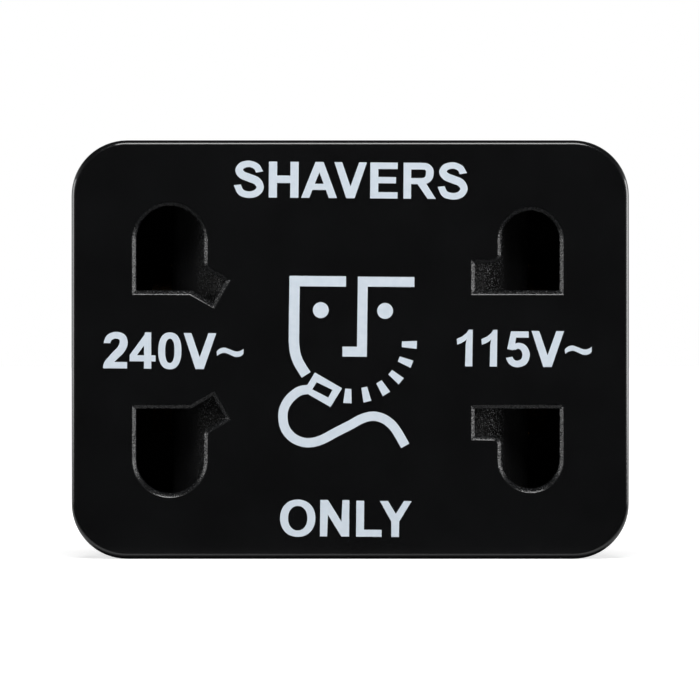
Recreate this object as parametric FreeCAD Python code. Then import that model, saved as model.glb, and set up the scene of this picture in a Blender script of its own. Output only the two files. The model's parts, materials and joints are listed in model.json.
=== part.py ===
import FreeCAD, Part
import math
import os
from FreeCAD import Vector

os.makedirs("parts", exist_ok=True)

# Dual voltage shaver socket module, in millimetres.
# X runs to the right seen from the front, Y into the wall, Z up.
# Y = 0 is the rear of the flange, where the module seats on its panel.

# Face and flange
face_width = 51.0
face_height = 38.3
face_corner_radius = 5.1
flange_thickness = 3.0
front_wall = 2.2
face_edge_fillet = 0.5
ledge_side = 1.5
ledge_top = 1.65
skirt_wall = 1.2
skirt_corner_radius = 3.6

# Apertures
arch_from_end = 9.01
arch_from_edge = 9.1
arch_straight = 4.63
aperture_half_240 = 3.08
aperture_half_115 = 2.64
rim_width = 0.4
rim_depth = 0.34
notch_root_radius = 0.8
slant_angle = 30.0
slant_reach = 4.5
slant_drop = 0.15
slant_half = 1.145
square_reach = 5.06
square_height = 2.46

# Running and fitting clearances
slide_gap = 0.2
slide_end_gap = 0.3
block_gap = 0.1
slot_gap = 0.3
tail_gap = 0.1
hole_gap = 0.05
strip_side_gap = 0.15
strip_end_gap = 0.79
rivet_gap = 0.2

# Shutter slide
slide_thickness = 5.6
shoulder_run = 6.9
slide_lip = 0.8
slide_wall = 1.2
slide_overlap = 0.2
slide_rib_inset = 2.0
slide_rib = 1.0
spring_boss_half = 3.1

# Return springs
spring_radius = 1.6
spring_wire = 0.4
spring_turns = 6
spring_sides = 6
spring_bore_gap = 0.25
spring_bore_depth = 7.5
spigot_radius = 1.1
spigot_length = 2.5

# Guide rails and screw bosses in the front moulding
rail_thickness = 1.0
rail_rib = 1.0
rail_ribs = 4
boss_inset = 2.8
boss_width = 3.6
pilot_spare = 0.4

# Contact block
pin_reach = 19.0
pin_tip_gap = 0.55
well_floor = 1.4
well_gap = 0.42
well_step_reach = 5.59
well_step_gap = 0.52
chamber_depth = 2.2
chamber_rim = 1.3
pad_radius = 1.9
channel_wall = 1.0
channel_end_gap = 1.0
channel_depth = 7.2
rear_core_wall = 1.5
rear_core_z = 2.8
rear_core_floor = 1.2

# Pin contacts
leaf_thickness = 0.4
leaf_width = 5.6
leaf_inset = 0.89
leaf_bow_back = 2.15
leaf_bow_share = 0.39
leaf_bow_bend = 1.2
leaf_tip_start = 1.2
leaf_tip_lift = 0.9
leaf_foot_rise = 2.4
leaf_foot_bend = 1.5
leaf_tail_past = 2.2

# Terminals
tab_width = 6.3
tab_thickness = 0.8
tab_length = 8.0
tab_hole_radius = 0.8
tab_hole_from_end = 3.2
tab_chamfer = 1.1
tab_from_rivet = 2.7
foot_from_rivet = 2.3
bend_radius = 0.8
rivet_radius = 1.1
rivet_head_radius = 1.8
rivet_head = 0.45
rivet_chamfer = 0.2

# Switch
strip_gap_x = 2.4
strip_inner_z = 0.7
strip_edge = 0.75
post_half_x = 2.6
post_half_z = 2.2
post_fork_rise = 4.0
post_end_gap = 0.6
bridge_half_x = 1.5
bridge_thickness = 0.3
bridge_bend = 0.3
bridge_flat_z = 0.75
bridge_crest_inset = 1.15
bridge_crest_gap = 0.12
bridge_tip_inset = 0.3
bridge_tip_drop = 0.7
peg_radius = 0.45
peg_length = 0.9
peg_root = 0.5

# Rear cover
cover_thickness = 1.6
barrier_height = 3.0
barrier_thickness = 1.0
barrier_from_tab = 4.0
barrier_from_side = 7.0
barrier_from_top = 2.0
barrier_split_x = 7.6
screw_radius = 0.8
screw_head_radius = 1.6
screw_head = 1.2
screw_head_chamfer = 0.4
screw_bite = 4.0

# Panel clips
clip_width = 8.0
clip_thickness = 0.4
clip_groove = 0.5
clip_groove_gap = 0.2
clip_start_y = 2.1
clip_tip_y = 2.55
clip_tip_lift = 0.35
clip_crest_y = 4.7
clip_crest_lift = 1.55
clip_crest_bend = 0.6
clip_spring_y = 9.5
clip_spring_bend = 3.0
clip_hook_bend = 0.3
clip_tongue = 0.8
clip_relief = 0.15

# Each cutting block runs this far past the solid that it cuts
cut_past = 1.0
# Points nearer together than these count as one place, in the outline and along Y
same_place = 0.05
same_y = 0.0001

# Worked out across the module
skirt_width = face_width - 2 * ledge_side
skirt_height = face_height - 2 * ledge_top
inner_width = skirt_width - 2 * skirt_wall
inner_height = skirt_height - 2 * skirt_wall
inner_radius = skirt_corner_radius - skirt_wall
pair_x = face_width / 2 - arch_from_end
pin_z = face_height / 2 - arch_from_edge
flat_edge_z = pin_z - arch_straight
slide_edge_x = pair_x
slide_land_x = slide_edge_x - shoulder_run
slide_rib_x = slide_land_x - slide_rib_inset
slide_half_z = pin_z + aperture_half_240 + slide_overlap
slide_travel = inner_width / 2 - slide_end_gap - slide_edge_x
spring_bore_end_x = slide_edge_x - spring_bore_depth
rail_z = slide_half_z + slide_gap
rail_rib_pitch = inner_width / (rail_ribs + 1)
boss_x = inner_width / 2 - boss_inset
boss_z = (rail_z + inner_height / 2 - block_gap) / 2
strip_pad_x = slide_travel + post_half_x
strip_tail_x = strip_pad_x + strip_end_gap + tab_thickness + bend_radius
channel_half_x = strip_tail_x + channel_end_gap
channel_half_z = tab_width / 2 + strip_side_gap
strip_notch_z = tab_width / 2 - strip_edge
bridge_crest_z = tab_width / 2 - bridge_crest_inset
bridge_tip_z = tab_width / 2 - bridge_tip_inset
rear_core_x = strip_tail_x - tab_thickness / 2 - tail_gap - rear_core_wall
well_inner_x = pair_x - well_step_reach
well_inner_z = channel_half_z + channel_wall
well_step_z = flat_edge_z + square_height + well_step_gap
leaf_x = pair_x - leaf_inset
leaf_bow_z = pin_z - leaf_bow_back
leaf_tip_z = well_inner_z + leaf_tip_lift
rivet_z = well_inner_z + leaf_thickness + tail_gap + rivet_gap + rivet_head_radius
leaf_tail_z = rivet_z + leaf_tail_past
terminal_base_z = rivet_z - foot_from_rivet
terminal_tab_z = rivet_z + tab_from_rivet
barrier_z = terminal_tab_z - barrier_from_tab
barrier_half_x = skirt_width / 2 - barrier_from_side
barrier_top_z = skirt_height / 2 - barrier_from_top

# Worked out from the face to the rear
face_y = -flange_thickness
wall_back_y = face_y + front_wall
slide_front_y = wall_back_y + slide_gap
slide_back_y = slide_front_y + slide_thickness
spring_y = (slide_front_y + slide_back_y) / 2
block_front_y = slide_back_y + slide_gap
well_floor_y = face_y + pin_reach + pin_tip_gap + rivet_head
block_rear_y = well_floor_y + well_floor
skirt_end_y = block_rear_y + chamber_depth
cover_rear_y = skirt_end_y + cover_thickness
tab_end_y = cover_rear_y + tab_length
channel_floor_y = block_front_y + channel_depth
strip_front_y = channel_floor_y - tab_thickness
fork_floor_y = slide_back_y + post_fork_rise
leaf_tip_y = block_front_y + leaf_tip_start
leaf_foot_y = well_floor_y - leaf_foot_rise
leaf_bow_y = leaf_tip_y + leaf_bow_share * (leaf_foot_y - leaf_tip_y)
leaf_rear_y = block_rear_y + leaf_thickness
terminal_rear_y = leaf_rear_y + tab_thickness
screw_tip_y = block_front_y - screw_bite


def box(x0, x1, y0, y1, z0, z1):
    return Part.makeBox(x1 - x0, y1 - y0, z1 - z0, Vector(x0, y0, z0))


def rod_y(x, z, radius, y0, y1):
    return Part.makeCylinder(radius, y1 - y0, Vector(x, y0, z), Vector(0, 1, 0))


def rod_x(y, z, radius, x0, x1):
    return Part.makeCylinder(radius, x1 - x0, Vector(x0, y, z), Vector(1, 0, 0))


def flip_x(shape):
    return shape.mirror(Vector(0, 0, 0), Vector(1, 0, 0))


def flip_z(shape):
    return shape.mirror(Vector(0, 0, 0), Vector(0, 0, 1))


def turn_half(shape):
    # half a turn about the Y axis
    return flip_x(flip_z(shape))


def rounded_block(width, height, radius, y0, y1):
    # a rectangle in X and Z with round corners, drawn out along Y
    block = box(-width / 2, width / 2, y0, y1, -height / 2, height / 2)
    corners = [e for e in block.Edges if abs(e.Vertexes[0].Y - e.Vertexes[-1].Y) > same_y]
    return block.makeFillet(radius, corners)


def arch(centre_x, half, flat_z, centre_z, y0, y1):
    # a pin opening: flat towards the middle of the face, a half round dome outwards
    low_left = Vector(centre_x - half, y0, flat_z)
    low_right = Vector(centre_x + half, y0, flat_z)
    high_right = Vector(centre_x + half, y0, centre_z)
    high_left = Vector(centre_x - half, y0, centre_z)
    top = Vector(centre_x, y0, centre_z + half)
    edges = [
        Part.makeLine(low_left, low_right),
        Part.makeLine(low_right, high_right),
        Part.Arc(high_right, top, high_left).toShape(),
        Part.makeLine(high_left, low_left),
    ]
    return Part.Face(Part.Wire(edges)).extrude(Vector(0, y1 - y0, 0))


def edges_at(shape, x, z):
    # edges along Y that stand at one place of the outline
    found = []
    for edge in shape.Edges:
        ends = [v.Point for v in edge.Vertexes]
        if len(ends) == 2 and abs(ends[0].y - ends[1].y) > same_y:
            if all(math.hypot(p.x - x, p.z - z) < same_place for p in ends):
                found.append(edge)
    return found


def aperture_240():
    # left upper aperture: the arch and a slanted notch for angled flat blades
    y0 = face_y - cut_past
    y1 = wall_back_y + cut_past
    body = arch(-pair_x, aperture_half_240, flat_edge_z, pin_z, y0, y1)
    slope = math.radians(slant_angle)
    along = Vector(-math.cos(slope), 0, math.sin(slope))
    across = Vector(math.sin(slope), 0, math.cos(slope)) * slant_half
    end = Vector(-pair_x + slant_reach, y0, flat_edge_z - slant_drop)
    reach = along * (slant_reach / math.cos(slope))
    corners = [end + across, end - across, end - across + reach, end + across + reach]
    notch = Part.Face(Part.makePolygon(corners + corners[:1])).extrude(Vector(0, y1 - y0, 0))
    body = body.fuse(notch).removeSplitter()
    root_x = -pair_x + aperture_half_240
    upper = end + across
    root_z = upper.z + (upper.x - root_x) * math.tan(slope)
    return body.makeFillet(notch_root_radius, edges_at(body, root_x, root_z))


def aperture_115():
    # right upper aperture: the arch and a square notch for parallel flat blades
    y0 = face_y - cut_past
    y1 = wall_back_y + cut_past
    body = arch(pair_x, aperture_half_115, flat_edge_z, pin_z, y0, y1)
    notch_top = flat_edge_z + square_height
    notch = box(pair_x - square_reach, pair_x, y0, y1, flat_edge_z, notch_top)
    body = body.fuse(notch).removeSplitter()
    root_x = pair_x - aperture_half_115
    return body.makeFillet(notch_root_radius, edges_at(body, root_x, notch_top))


def face_plate():
    # the flange with its four apertures, a chamfered rim round each and the outer edge rounded over
    plate = rounded_block(face_width, face_height, face_corner_radius, face_y, 0)
    outer = [e for e in plate.Edges if all(abs(v.Y - face_y) < same_y for v in e.Vertexes)]
    plate = plate.makeFillet(face_edge_fillet, outer)
    for hole in (aperture_240(), aperture_115()):
        plate = plate.cut(hole).cut(flip_z(hole))
    rims = []
    limit_x = face_width / 2 - face_edge_fillet - same_place
    limit_z = face_height / 2 - face_edge_fillet - same_place
    for edge in plate.Edges:
        bound = edge.BoundBox
        flat = abs(bound.YMin - face_y) < same_y and abs(bound.YMax - face_y) < same_y
        inside = max(bound.XMax, -bound.XMin) < limit_x and max(bound.ZMax, -bound.ZMin) < limit_z
        if flat and inside:
            rims.append(edge)
    return plate.makeChamfer(rim_width, rim_depth, rims)


def guide_rail():
    # upper rail that guides the slide, its ribs and the two screw bosses at its ends
    half = inner_width / 2
    top = inner_height / 2 + skirt_wall / 2
    rail = box(-half, half, wall_back_y, block_front_y, rail_z, rail_z + rail_thickness)
    for place in range(rail_ribs):
        x = (place - (rail_ribs - 1) / 2) * rail_rib_pitch
        rib = box(x - rail_rib / 2, x + rail_rib / 2, wall_back_y, block_front_y, rail_z, top)
        rail = rail.fuse(rib)
    for x in (-boss_x, boss_x):
        boss = box(x - boss_width / 2, x + boss_width / 2, wall_back_y, block_front_y, rail_z, top)
        rail = rail.fuse(boss)
    return rail


def front_moulding():
    skirt = rounded_block(skirt_width, skirt_height, skirt_corner_radius, wall_back_y, skirt_end_y)
    cavity = rounded_block(inner_width, inner_height, inner_radius, wall_back_y, skirt_end_y + cut_past)
    body = face_plate().fuse(skirt).cut(cavity)
    shell = rounded_block(skirt_width - skirt_wall, skirt_height - skirt_wall,
                          skirt_corner_radius - skirt_wall / 2, wall_back_y, block_front_y)
    rail = guide_rail().common(shell)
    wall_x = inner_width / 2
    spigot = rod_x(spring_y, 0, spigot_radius, wall_x - spigot_length, wall_x + skirt_wall / 2)
    body = body.fuse([rail, flip_z(rail), spigot, flip_x(spigot)])
    for x in (-boss_x, boss_x):
        for z in (-boss_z, boss_z):
            pilot = rod_y(x, z, screw_radius + hole_gap, screw_tip_y - pilot_spare, block_front_y + cut_past)
            body = body.cut(pilot)
    half = clip_width / 2 + clip_groove_gap
    floor = skirt_height / 2 - clip_groove
    groove = box(-half, half, clip_start_y, skirt_end_y + cut_past, floor, skirt_height / 2 + cut_past)
    seat = box(-half, half, skirt_end_y - clip_thickness, skirt_end_y + cut_past,
               inner_height / 2 - cut_past, skirt_height / 2 + cut_past)
    relief = box(-half, half, skirt_end_y - clip_thickness - clip_relief, skirt_end_y + cut_past,
                 floor - clip_relief, skirt_height / 2 + cut_past)
    groove = groove.fuse([seat, relief])
    return body.cut(groove).cut(flip_z(groove)).removeSplitter()


def slide_profile(inset, back_y):
    # the slide seen along Z: a flat land that rounds over to each end
    front = slide_front_y + inset
    edge = slide_edge_x - inset
    lip = slide_back_y - slide_lip
    run = edge - slide_land_x
    fall = lip - front
    radius = (run ** 2 + fall ** 2) / (2 * fall)
    half_turn = math.asin(run / radius) / 2
    middle_x = slide_land_x + radius * math.sin(half_turn)
    middle_y = front + radius * (1 - math.cos(half_turn))
    points = [(slide_land_x, front), (middle_x, middle_y), (edge, lip), (edge, back_y)]
    land, middle, end, back = [Vector(x, y, 0) for x, y in points]
    far_land, far_middle, far_end, far_back = [Vector(-x, y, 0) for x, y in points]
    edges = [
        Part.makeLine(far_land, land),
        Part.Arc(land, middle, end).toShape(),
        Part.makeLine(end, back),
        Part.makeLine(back, far_back),
        Part.makeLine(far_back, far_end),
        Part.Arc(far_end, far_middle, far_land).toShape(),
    ]
    return Part.Face(Part.Wire(edges))


def drawn_along_z(profile, half):
    solid = profile.extrude(Vector(0, 0, 2 * half))
    solid.translate(Vector(0, 0, -half))
    return solid


def switch_post():
    # forked post behind the slide, with a peg that carries the bridge
    end_y = strip_front_y - post_end_gap
    post = box(-post_half_x, post_half_x, slide_back_y - slide_wall, end_y, -post_half_z, post_half_z)
    fork = box(-bridge_half_x - tail_gap, bridge_half_x + tail_gap, fork_floor_y,
               end_y + cut_past, -post_half_z - cut_past, post_half_z + cut_past)
    peg = rod_y(0, 0, peg_radius, fork_floor_y - peg_root, fork_floor_y + peg_length)
    return post.cut(fork).fuse(peg)


def shutter_slide():
    body = drawn_along_z(slide_profile(0, slide_back_y), slide_half_z)
    hollow = drawn_along_z(slide_profile(slide_wall, slide_back_y + cut_past), slide_half_z - slide_wall)
    reach = slide_edge_x
    boss = box(-reach, reach, slide_front_y, slide_back_y, -spring_boss_half, spring_boss_half)
    body = body.cut(hollow).fuse(boss)
    for x in (-slide_rib_x, slide_rib_x):
        body = body.fuse(box(x - slide_rib / 2, x + slide_rib / 2, slide_front_y + slide_wall / 2,
                             slide_back_y, -slide_half_z + slide_wall / 2, slide_half_z - slide_wall / 2))
    body = body.fuse(switch_post())
    bore_radius = spring_radius + spring_wire / 2 + spring_bore_gap
    bore = rod_x(spring_y, 0, bore_radius, spring_bore_end_x, reach + cut_past)
    return body.cut(bore).cut(flip_x(bore)).removeSplitter()


def coil(radius, wire, turns, length):
    # open coil standing along Z with its ends at 0 and length
    pitch = (length - wire) / turns
    path = Part.makeHelix(pitch, length - wire, radius)
    spots = []
    for side in range(spring_sides):
        angle = 2 * math.pi * side / spring_sides
        spots.append(Vector(radius + wire / 2 * math.cos(angle), 0, wire / 2 * math.sin(angle)))
    ring = Part.makePolygon(spots + spots[:1])
    body = Part.Wire(path.Edges).makePipeShell([ring], True, True)
    body.translate(Vector(0, 0, wire / 2))
    return body


def return_spring():
    # right hand return spring, between the slide's bore and the skirt
    body = coil(spring_radius, spring_wire, spring_turns, inner_width / 2 - spring_bore_end_x)
    body.rotate(Vector(0, 0, 0), Vector(0, 1, 0), 90)
    body.translate(Vector(spring_bore_end_x, spring_y, 0))
    return body


def bent_strip(points, radii, thickness, place, drawn):
    # a strip of sheet metal: its middle line through the points, a round bend at each inner one
    half = thickness / 2
    ways = []
    for start, stop in zip(points, points[1:]):
        length = math.hypot(stop[0] - start[0], stop[1] - start[1])
        ways.append(((stop[0] - start[0]) / length, (stop[1] - start[1]) / length))

    def side(offset):
        # each stretch of one side, as (point, point) or (point, middle, point)
        runs = []
        here = (points[0][0] - ways[0][1] * offset, points[0][1] + ways[0][0] * offset)
        for i, radius in enumerate(radii):
            first, second = ways[i], ways[i + 1]
            corner = points[i + 1]
            turn = math.atan2(first[0] * second[1] - first[1] * second[0],
                              first[0] * second[0] + first[1] * second[1])
            hand = 1 if turn > 0 else -1
            back = radius * math.tan(abs(turn) / 2)
            enter = (corner[0] - first[0] * back, corner[1] - first[1] * back)
            leave = (corner[0] + second[0] * back, corner[1] + second[1] * back)
            centre = (enter[0] - first[1] * hand * radius, enter[1] + first[0] * hand * radius)
            away = math.hypot(corner[0] - centre[0], corner[1] - centre[1])
            scale = (radius - hand * offset) / away
            middle = (centre[0] + (corner[0] - centre[0]) * scale,
                      centre[1] + (corner[1] - centre[1]) * scale)
            enter = (enter[0] - first[1] * offset, enter[1] + first[0] * offset)
            leave = (leave[0] - second[1] * offset, leave[1] + second[0] * offset)
            runs.append((here, enter))
            runs.append((enter, middle, leave))
            here = leave
        last = ways[-1]
        stop = (points[-1][0] - last[1] * offset, points[-1][1] + last[0] * offset)
        runs.append((here, stop))
        return runs

    near = side(half)
    far = side(-half)
    runs = near + [(near[-1][-1], far[-1][-1])]
    runs += [tuple(reversed(run)) for run in reversed(far)]
    runs += [(far[0][0], near[0][0])]
    edges = []
    for run in runs:
        spots = [place(u, v) for u, v in run]
        if len(spots) == 3:
            edges.append(Part.Arc(*spots).toShape())
        else:
            edges.append(Part.makeLine(*spots))
    return Part.Face(Part.Wire(edges)).extrude(drawn)


def strip_in_yz(points, radii, thickness, middle_x, width):
    # the strip's line is given as (y, z) and it is drawn out along X
    def place(y, z):
        return Vector(middle_x - width / 2, y, z)

    return bent_strip(points, radii, thickness, place, Vector(width, 0, 0))


def strip_in_xy(points, radii, thickness, z0, z1):
    # the strip's line is given as (x, y) and it is drawn out along Z
    def place(x, y):
        return Vector(x, y, z0)

    return bent_strip(points, radii, thickness, place, Vector(0, 0, z1 - z0))


def spade_end(shape, middle, across, through):
    # chamfered corners and the locking hole at the end of a spade tab
    depth = tab_thickness + 2 * cut_past
    tip = Vector(middle.x, tab_end_y, middle.z) - through * (depth / 2)
    back = Vector(0, tab_chamfer, 0)
    for hand in (-1, 1):
        corner = tip + across * (hand * tab_width / 2)
        out = across * (hand * tab_chamfer)
        points = [corner - out * 2 + back, corner + out - back * 2, corner + out + back]
        wedge = Part.Face(Part.makePolygon(points + points[:1])).extrude(through * depth)
        shape = shape.cut(wedge)
    centre = tip - Vector(0, tab_hole_from_end, 0)
    return shape.cut(Part.makeCylinder(tab_hole_radius, depth, centre, through))


def pin_contact():
    # right upper leaf: bowed into the well, its tail folded flat behind the well's floor
    line_z = well_inner_z + leaf_thickness / 2
    tail_y = block_rear_y + leaf_thickness / 2
    points = [
        (tail_y, leaf_tail_z),
        (tail_y, line_z),
        (leaf_foot_y, line_z),
        (leaf_bow_y, leaf_bow_z),
        (leaf_tip_y, leaf_tip_z),
    ]
    radii = [leaf_thickness / 2 + tail_gap, leaf_foot_bend, leaf_bow_bend]
    leaf = strip_in_yz(points, radii, leaf_thickness, leaf_x, leaf_width)
    return leaf.cut(rod_y(leaf_x, rivet_z, rivet_radius, block_rear_y - cut_past, leaf_rear_y + cut_past))


def live_terminal():
    # right upper terminal: a foot on the leaf's tail and a spade tab through the cover
    foot_y = leaf_rear_y + tab_thickness / 2
    points = [(foot_y, terminal_base_z), (foot_y, terminal_tab_z), (tab_end_y, terminal_tab_z)]
    body = strip_in_yz(points, [bend_radius], tab_thickness, leaf_x, tab_width)
    body = spade_end(body, Vector(leaf_x, 0, terminal_tab_z), Vector(1, 0, 0), Vector(0, 0, 1))
    return body.cut(rod_y(leaf_x, rivet_z, rivet_radius, leaf_rear_y - cut_past, terminal_rear_y + cut_past))


def common_terminal():
    # lower bar that joins the two lower contacts, with one spade tab in its middle
    foot_y = leaf_rear_y + tab_thickness / 2
    points = [(foot_y, terminal_base_z), (foot_y, terminal_tab_z), (tab_end_y, terminal_tab_z)]
    tab = strip_in_yz(points, [bend_radius], tab_thickness, 0, tab_width)
    tab = spade_end(tab, Vector(0, 0, terminal_tab_z), Vector(1, 0, 0), Vector(0, 0, 1))
    half = leaf_x + tab_width / 2
    bar = box(-half, half, leaf_rear_y, terminal_rear_y, terminal_base_z, leaf_tail_z)
    for x in (-leaf_x, leaf_x):
        bar = bar.cut(rod_y(x, rivet_z, rivet_radius, leaf_rear_y - cut_past, terminal_rear_y + cut_past))
    return flip_z(bar.fuse(tab).removeSplitter())


def terminal_rivet():
    # right upper rivet: head in the well, shank through floor, leaf and terminal
    head = rod_y(leaf_x, rivet_z, rivet_head_radius, well_floor_y - rivet_head, well_floor_y)
    shank = rod_y(leaf_x, rivet_z, rivet_radius, well_floor_y - rivet_head, terminal_rear_y)
    closed = rod_y(leaf_x, rivet_z, rivet_head_radius, terminal_rear_y, terminal_rear_y + rivet_head)
    rim = [e for e in closed.Edges if e.BoundBox.YMin > terminal_rear_y + rivet_head - same_y]
    closed = closed.makeChamfer(rivet_chamfer, rim)
    return head.fuse([shank, closed]).removeSplitter()


def switch_strip():
    # left fixed strip: a tail that ends in a spade tab, and two pads with an open gap between
    middle_y = channel_floor_y - tab_thickness / 2
    points = [(-strip_tail_x, tab_end_y), (-strip_tail_x, middle_y), (strip_pad_x, middle_y)]
    half = tab_width / 2
    body = strip_in_xy(points, [bend_radius], tab_thickness, -half, half)
    body = spade_end(body, Vector(-strip_tail_x, 0, 0), Vector(0, 0, 1), Vector(1, 0, 0))
    start_x = -strip_tail_x + bend_radius + tab_thickness
    y0 = strip_front_y - cut_past
    y1 = channel_floor_y + cut_past
    other = box(start_x, strip_pad_x + cut_past, y0, y1, -half - cut_past, strip_inner_z)
    gap = box(-strip_gap_x, strip_gap_x, y0, y1, -half, strip_notch_z)
    return body.cut(other).cut(gap)


def switch_bridge():
    # bowed leaf on the slide's post, its two crests towards the fixed strips
    seat_y = fork_floor_y + bridge_thickness / 2
    crest_y = strip_front_y - bridge_crest_gap
    tip_y = crest_y - bridge_tip_drop
    points = [
        (tip_y, -bridge_tip_z),
        (crest_y, -bridge_crest_z),
        (seat_y, -bridge_flat_z),
        (seat_y, bridge_flat_z),
        (crest_y, bridge_crest_z),
        (tip_y, bridge_tip_z),
    ]
    radii = [bridge_bend] * (len(points) - 2)
    leaf = strip_in_yz(points, radii, bridge_thickness, 0, 2 * bridge_half_x)
    return leaf.cut(rod_y(0, 0, peg_radius + hole_gap, fork_floor_y - cut_past, seat_y + cut_past))


def well():
    # right upper pin well, wider all round than the aperture in front of it
    half = aperture_half_240 + well_gap
    body = arch(pair_x, half, well_inner_z, pin_z, block_front_y - cut_past, well_floor_y)
    step = box(well_inner_x, pair_x, block_front_y - cut_past, well_floor_y, well_inner_z, well_step_z)
    tail = box(leaf_x - leaf_width / 2 - tail_gap, leaf_x + leaf_width / 2 + tail_gap,
               well_floor_y - cut_past, block_rear_y + cut_past,
               well_inner_z, well_inner_z + leaf_thickness + tail_gap)
    rivet = rod_y(leaf_x, rivet_z, rivet_radius, well_floor_y - cut_past, block_rear_y + cut_past)
    return body.fuse([step, tail, rivet])


def contact_block():
    outline = rounded_block(inner_width - 2 * block_gap, inner_height - 2 * block_gap,
                            inner_radius - block_gap, block_front_y, skirt_end_y)
    trim = 2 * block_gap + 2 * chamber_rim
    chamber = rounded_block(inner_width - trim, inner_height - trim,
                            inner_radius - block_gap - chamber_rim / 2, block_rear_y, skirt_end_y + cut_past)
    for x in (-boss_x, boss_x):
        for z in (-boss_z, boss_z):
            chamber = chamber.cut(rod_y(x, z, pad_radius, block_rear_y, skirt_end_y + cut_past))
    body = outline.cut(chamber)
    pocket = well()
    cuts = [pocket, flip_x(pocket), flip_z(pocket), turn_half(pocket)]
    cuts.append(box(-rear_core_x, rear_core_x, channel_floor_y + rear_core_floor, block_rear_y + cut_past,
                    -rear_core_z, rear_core_z))
    slot_half = tab_thickness / 2 + tail_gap
    slot_z = tab_width / 2 + tail_gap
    slot_y = channel_floor_y - cut_past
    slot = box(-strip_tail_x - slot_half, -strip_tail_x + slot_half, slot_y, block_rear_y + cut_past,
               -slot_z, slot_z)
    relief = box(-strip_tail_x - slot_half, -strip_tail_x + bend_radius + tail_gap, slot_y,
                 channel_floor_y + bend_radius, -slot_z, slot_z)
    cuts += [slot, flip_x(slot), relief, flip_x(relief)]
    channel = box(-channel_half_x, channel_half_x, block_front_y - cut_past, channel_floor_y,
                  -channel_half_z, channel_half_z)
    hump_half = strip_gap_x - tail_gap
    hump_z = strip_notch_z - tail_gap
    hump = box(-hump_half, hump_half, strip_front_y, channel_floor_y + cut_past, -hump_z, hump_z)
    cuts.append(channel.cut(hump))
    hole_radius = screw_radius + slot_gap / 2
    for x in (-boss_x, boss_x):
        for z in (-boss_z, boss_z):
            cuts.append(rod_y(x, z, hole_radius, block_front_y - cut_past, skirt_end_y + cut_past))
    for cut in cuts:
        body = body.cut(cut)
    return body.removeSplitter()


def barriers():
    # insulating walls between the spade tabs behind the cover
    y0 = cover_rear_y - cover_thickness / 2
    y1 = cover_rear_y + barrier_height
    half = barrier_thickness / 2
    walls = [box(-half, half, y0, y1, -barrier_z, barrier_z)]
    for z in (-barrier_z, barrier_z):
        walls.append(box(-barrier_half_x, barrier_half_x, y0, y1, z - half, z + half))
    walls.append(box(-half, half, y0, y1, barrier_z, barrier_top_z))
    for x in (-barrier_split_x, barrier_split_x):
        walls.append(box(x - half, x + half, y0, y1, -barrier_top_z, -barrier_z))
    return walls


def rear_cover():
    body = rounded_block(skirt_width, skirt_height, skirt_corner_radius, skirt_end_y, cover_rear_y)
    body = body.fuse(barriers())
    wide = tab_width / 2 + slot_gap
    thin = tab_thickness / 2 + slot_gap
    y0 = skirt_end_y - cut_past
    y1 = cover_rear_y + cut_past
    for x, z in ((leaf_x, terminal_tab_z), (-leaf_x, terminal_tab_z), (0, -terminal_tab_z)):
        body = body.cut(box(x - wide, x + wide, y0, y1, z - thin, z + thin))
    for x in (-strip_tail_x, strip_tail_x):
        body = body.cut(box(x - thin, x + thin, y0, y1, -wide, wide))
    for x in (-boss_x, boss_x):
        for z in (-boss_z, boss_z):
            body = body.cut(rod_y(x, z, screw_radius + slot_gap / 2, y0, y1))
    return body.removeSplitter()


def cover_screw(x, z):
    head = rod_y(x, z, screw_head_radius, cover_rear_y, cover_rear_y + screw_head)
    rim = [e for e in head.Edges if e.BoundBox.YMin > cover_rear_y + screw_head - same_y]
    head = head.makeChamfer(screw_head_chamfer, rim)
    shank = rod_y(x, z, screw_radius, screw_tip_y, cover_rear_y)
    return head.fuse(shank).removeSplitter()


def panel_clip():
    # upper spring clip: hooked over the skirt's end, with a ramp that bears on the panel's rear edge
    seat_z = skirt_height / 2 - clip_groove + clip_thickness / 2
    hook_y = skirt_end_y - clip_thickness / 2
    points = [
        (hook_y, seat_z - clip_tongue),
        (hook_y, seat_z),
        (clip_spring_y, seat_z),
        (clip_crest_y, seat_z + clip_crest_lift),
        (clip_tip_y, seat_z + clip_tip_lift),
    ]
    radii = [clip_hook_bend, clip_spring_bend, clip_crest_bend]
    return strip_in_yz(points, radii, clip_thickness, 0, clip_width)


leaf = pin_contact()
terminal = live_terminal()
rivet = terminal_rivet()
strip = switch_strip()
spring = return_spring()
clip = panel_clip()

pieces = {
    "front_moulding": front_moulding(),
    "shutter_slide": shutter_slide(),
    "return_spring_left": flip_x(spring),
    "return_spring_right": spring,
    "contact_block": contact_block(),
    "pin_contact_240": flip_x(leaf),
    "pin_contact_115": leaf,
    "pin_contact_common_left": turn_half(leaf),
    "pin_contact_common_right": flip_z(leaf),
    "terminal_240": flip_x(terminal),
    "terminal_115": terminal,
    "terminal_common": common_terminal(),
    "terminal_rivet_240": flip_x(rivet),
    "terminal_rivet_115": rivet,
    "terminal_rivet_common_left": turn_half(rivet),
    "terminal_rivet_common_right": flip_z(rivet),
    "switch_strip_in": strip,
    "switch_strip_out": turn_half(strip),
    "switch_bridge": switch_bridge(),
    "rear_cover": rear_cover(),
    "panel_clip_top": clip,
    "panel_clip_bottom": flip_z(clip),
}
screw_places = [(-boss_x, boss_z), (boss_x, boss_z), (-boss_x, -boss_z), (boss_x, -boss_z)]
for number, (x, z) in enumerate(screw_places, 1):
    pieces["cover_screw_%d" % number] = cover_screw(x, z)

for name, shape in pieces.items():
    shape.exportStep("parts/%s.step" % name)
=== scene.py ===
import json
import math

import bmesh
import bpy
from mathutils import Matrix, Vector
from mathutils.geometry import delaunay_2d_cdt


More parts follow.
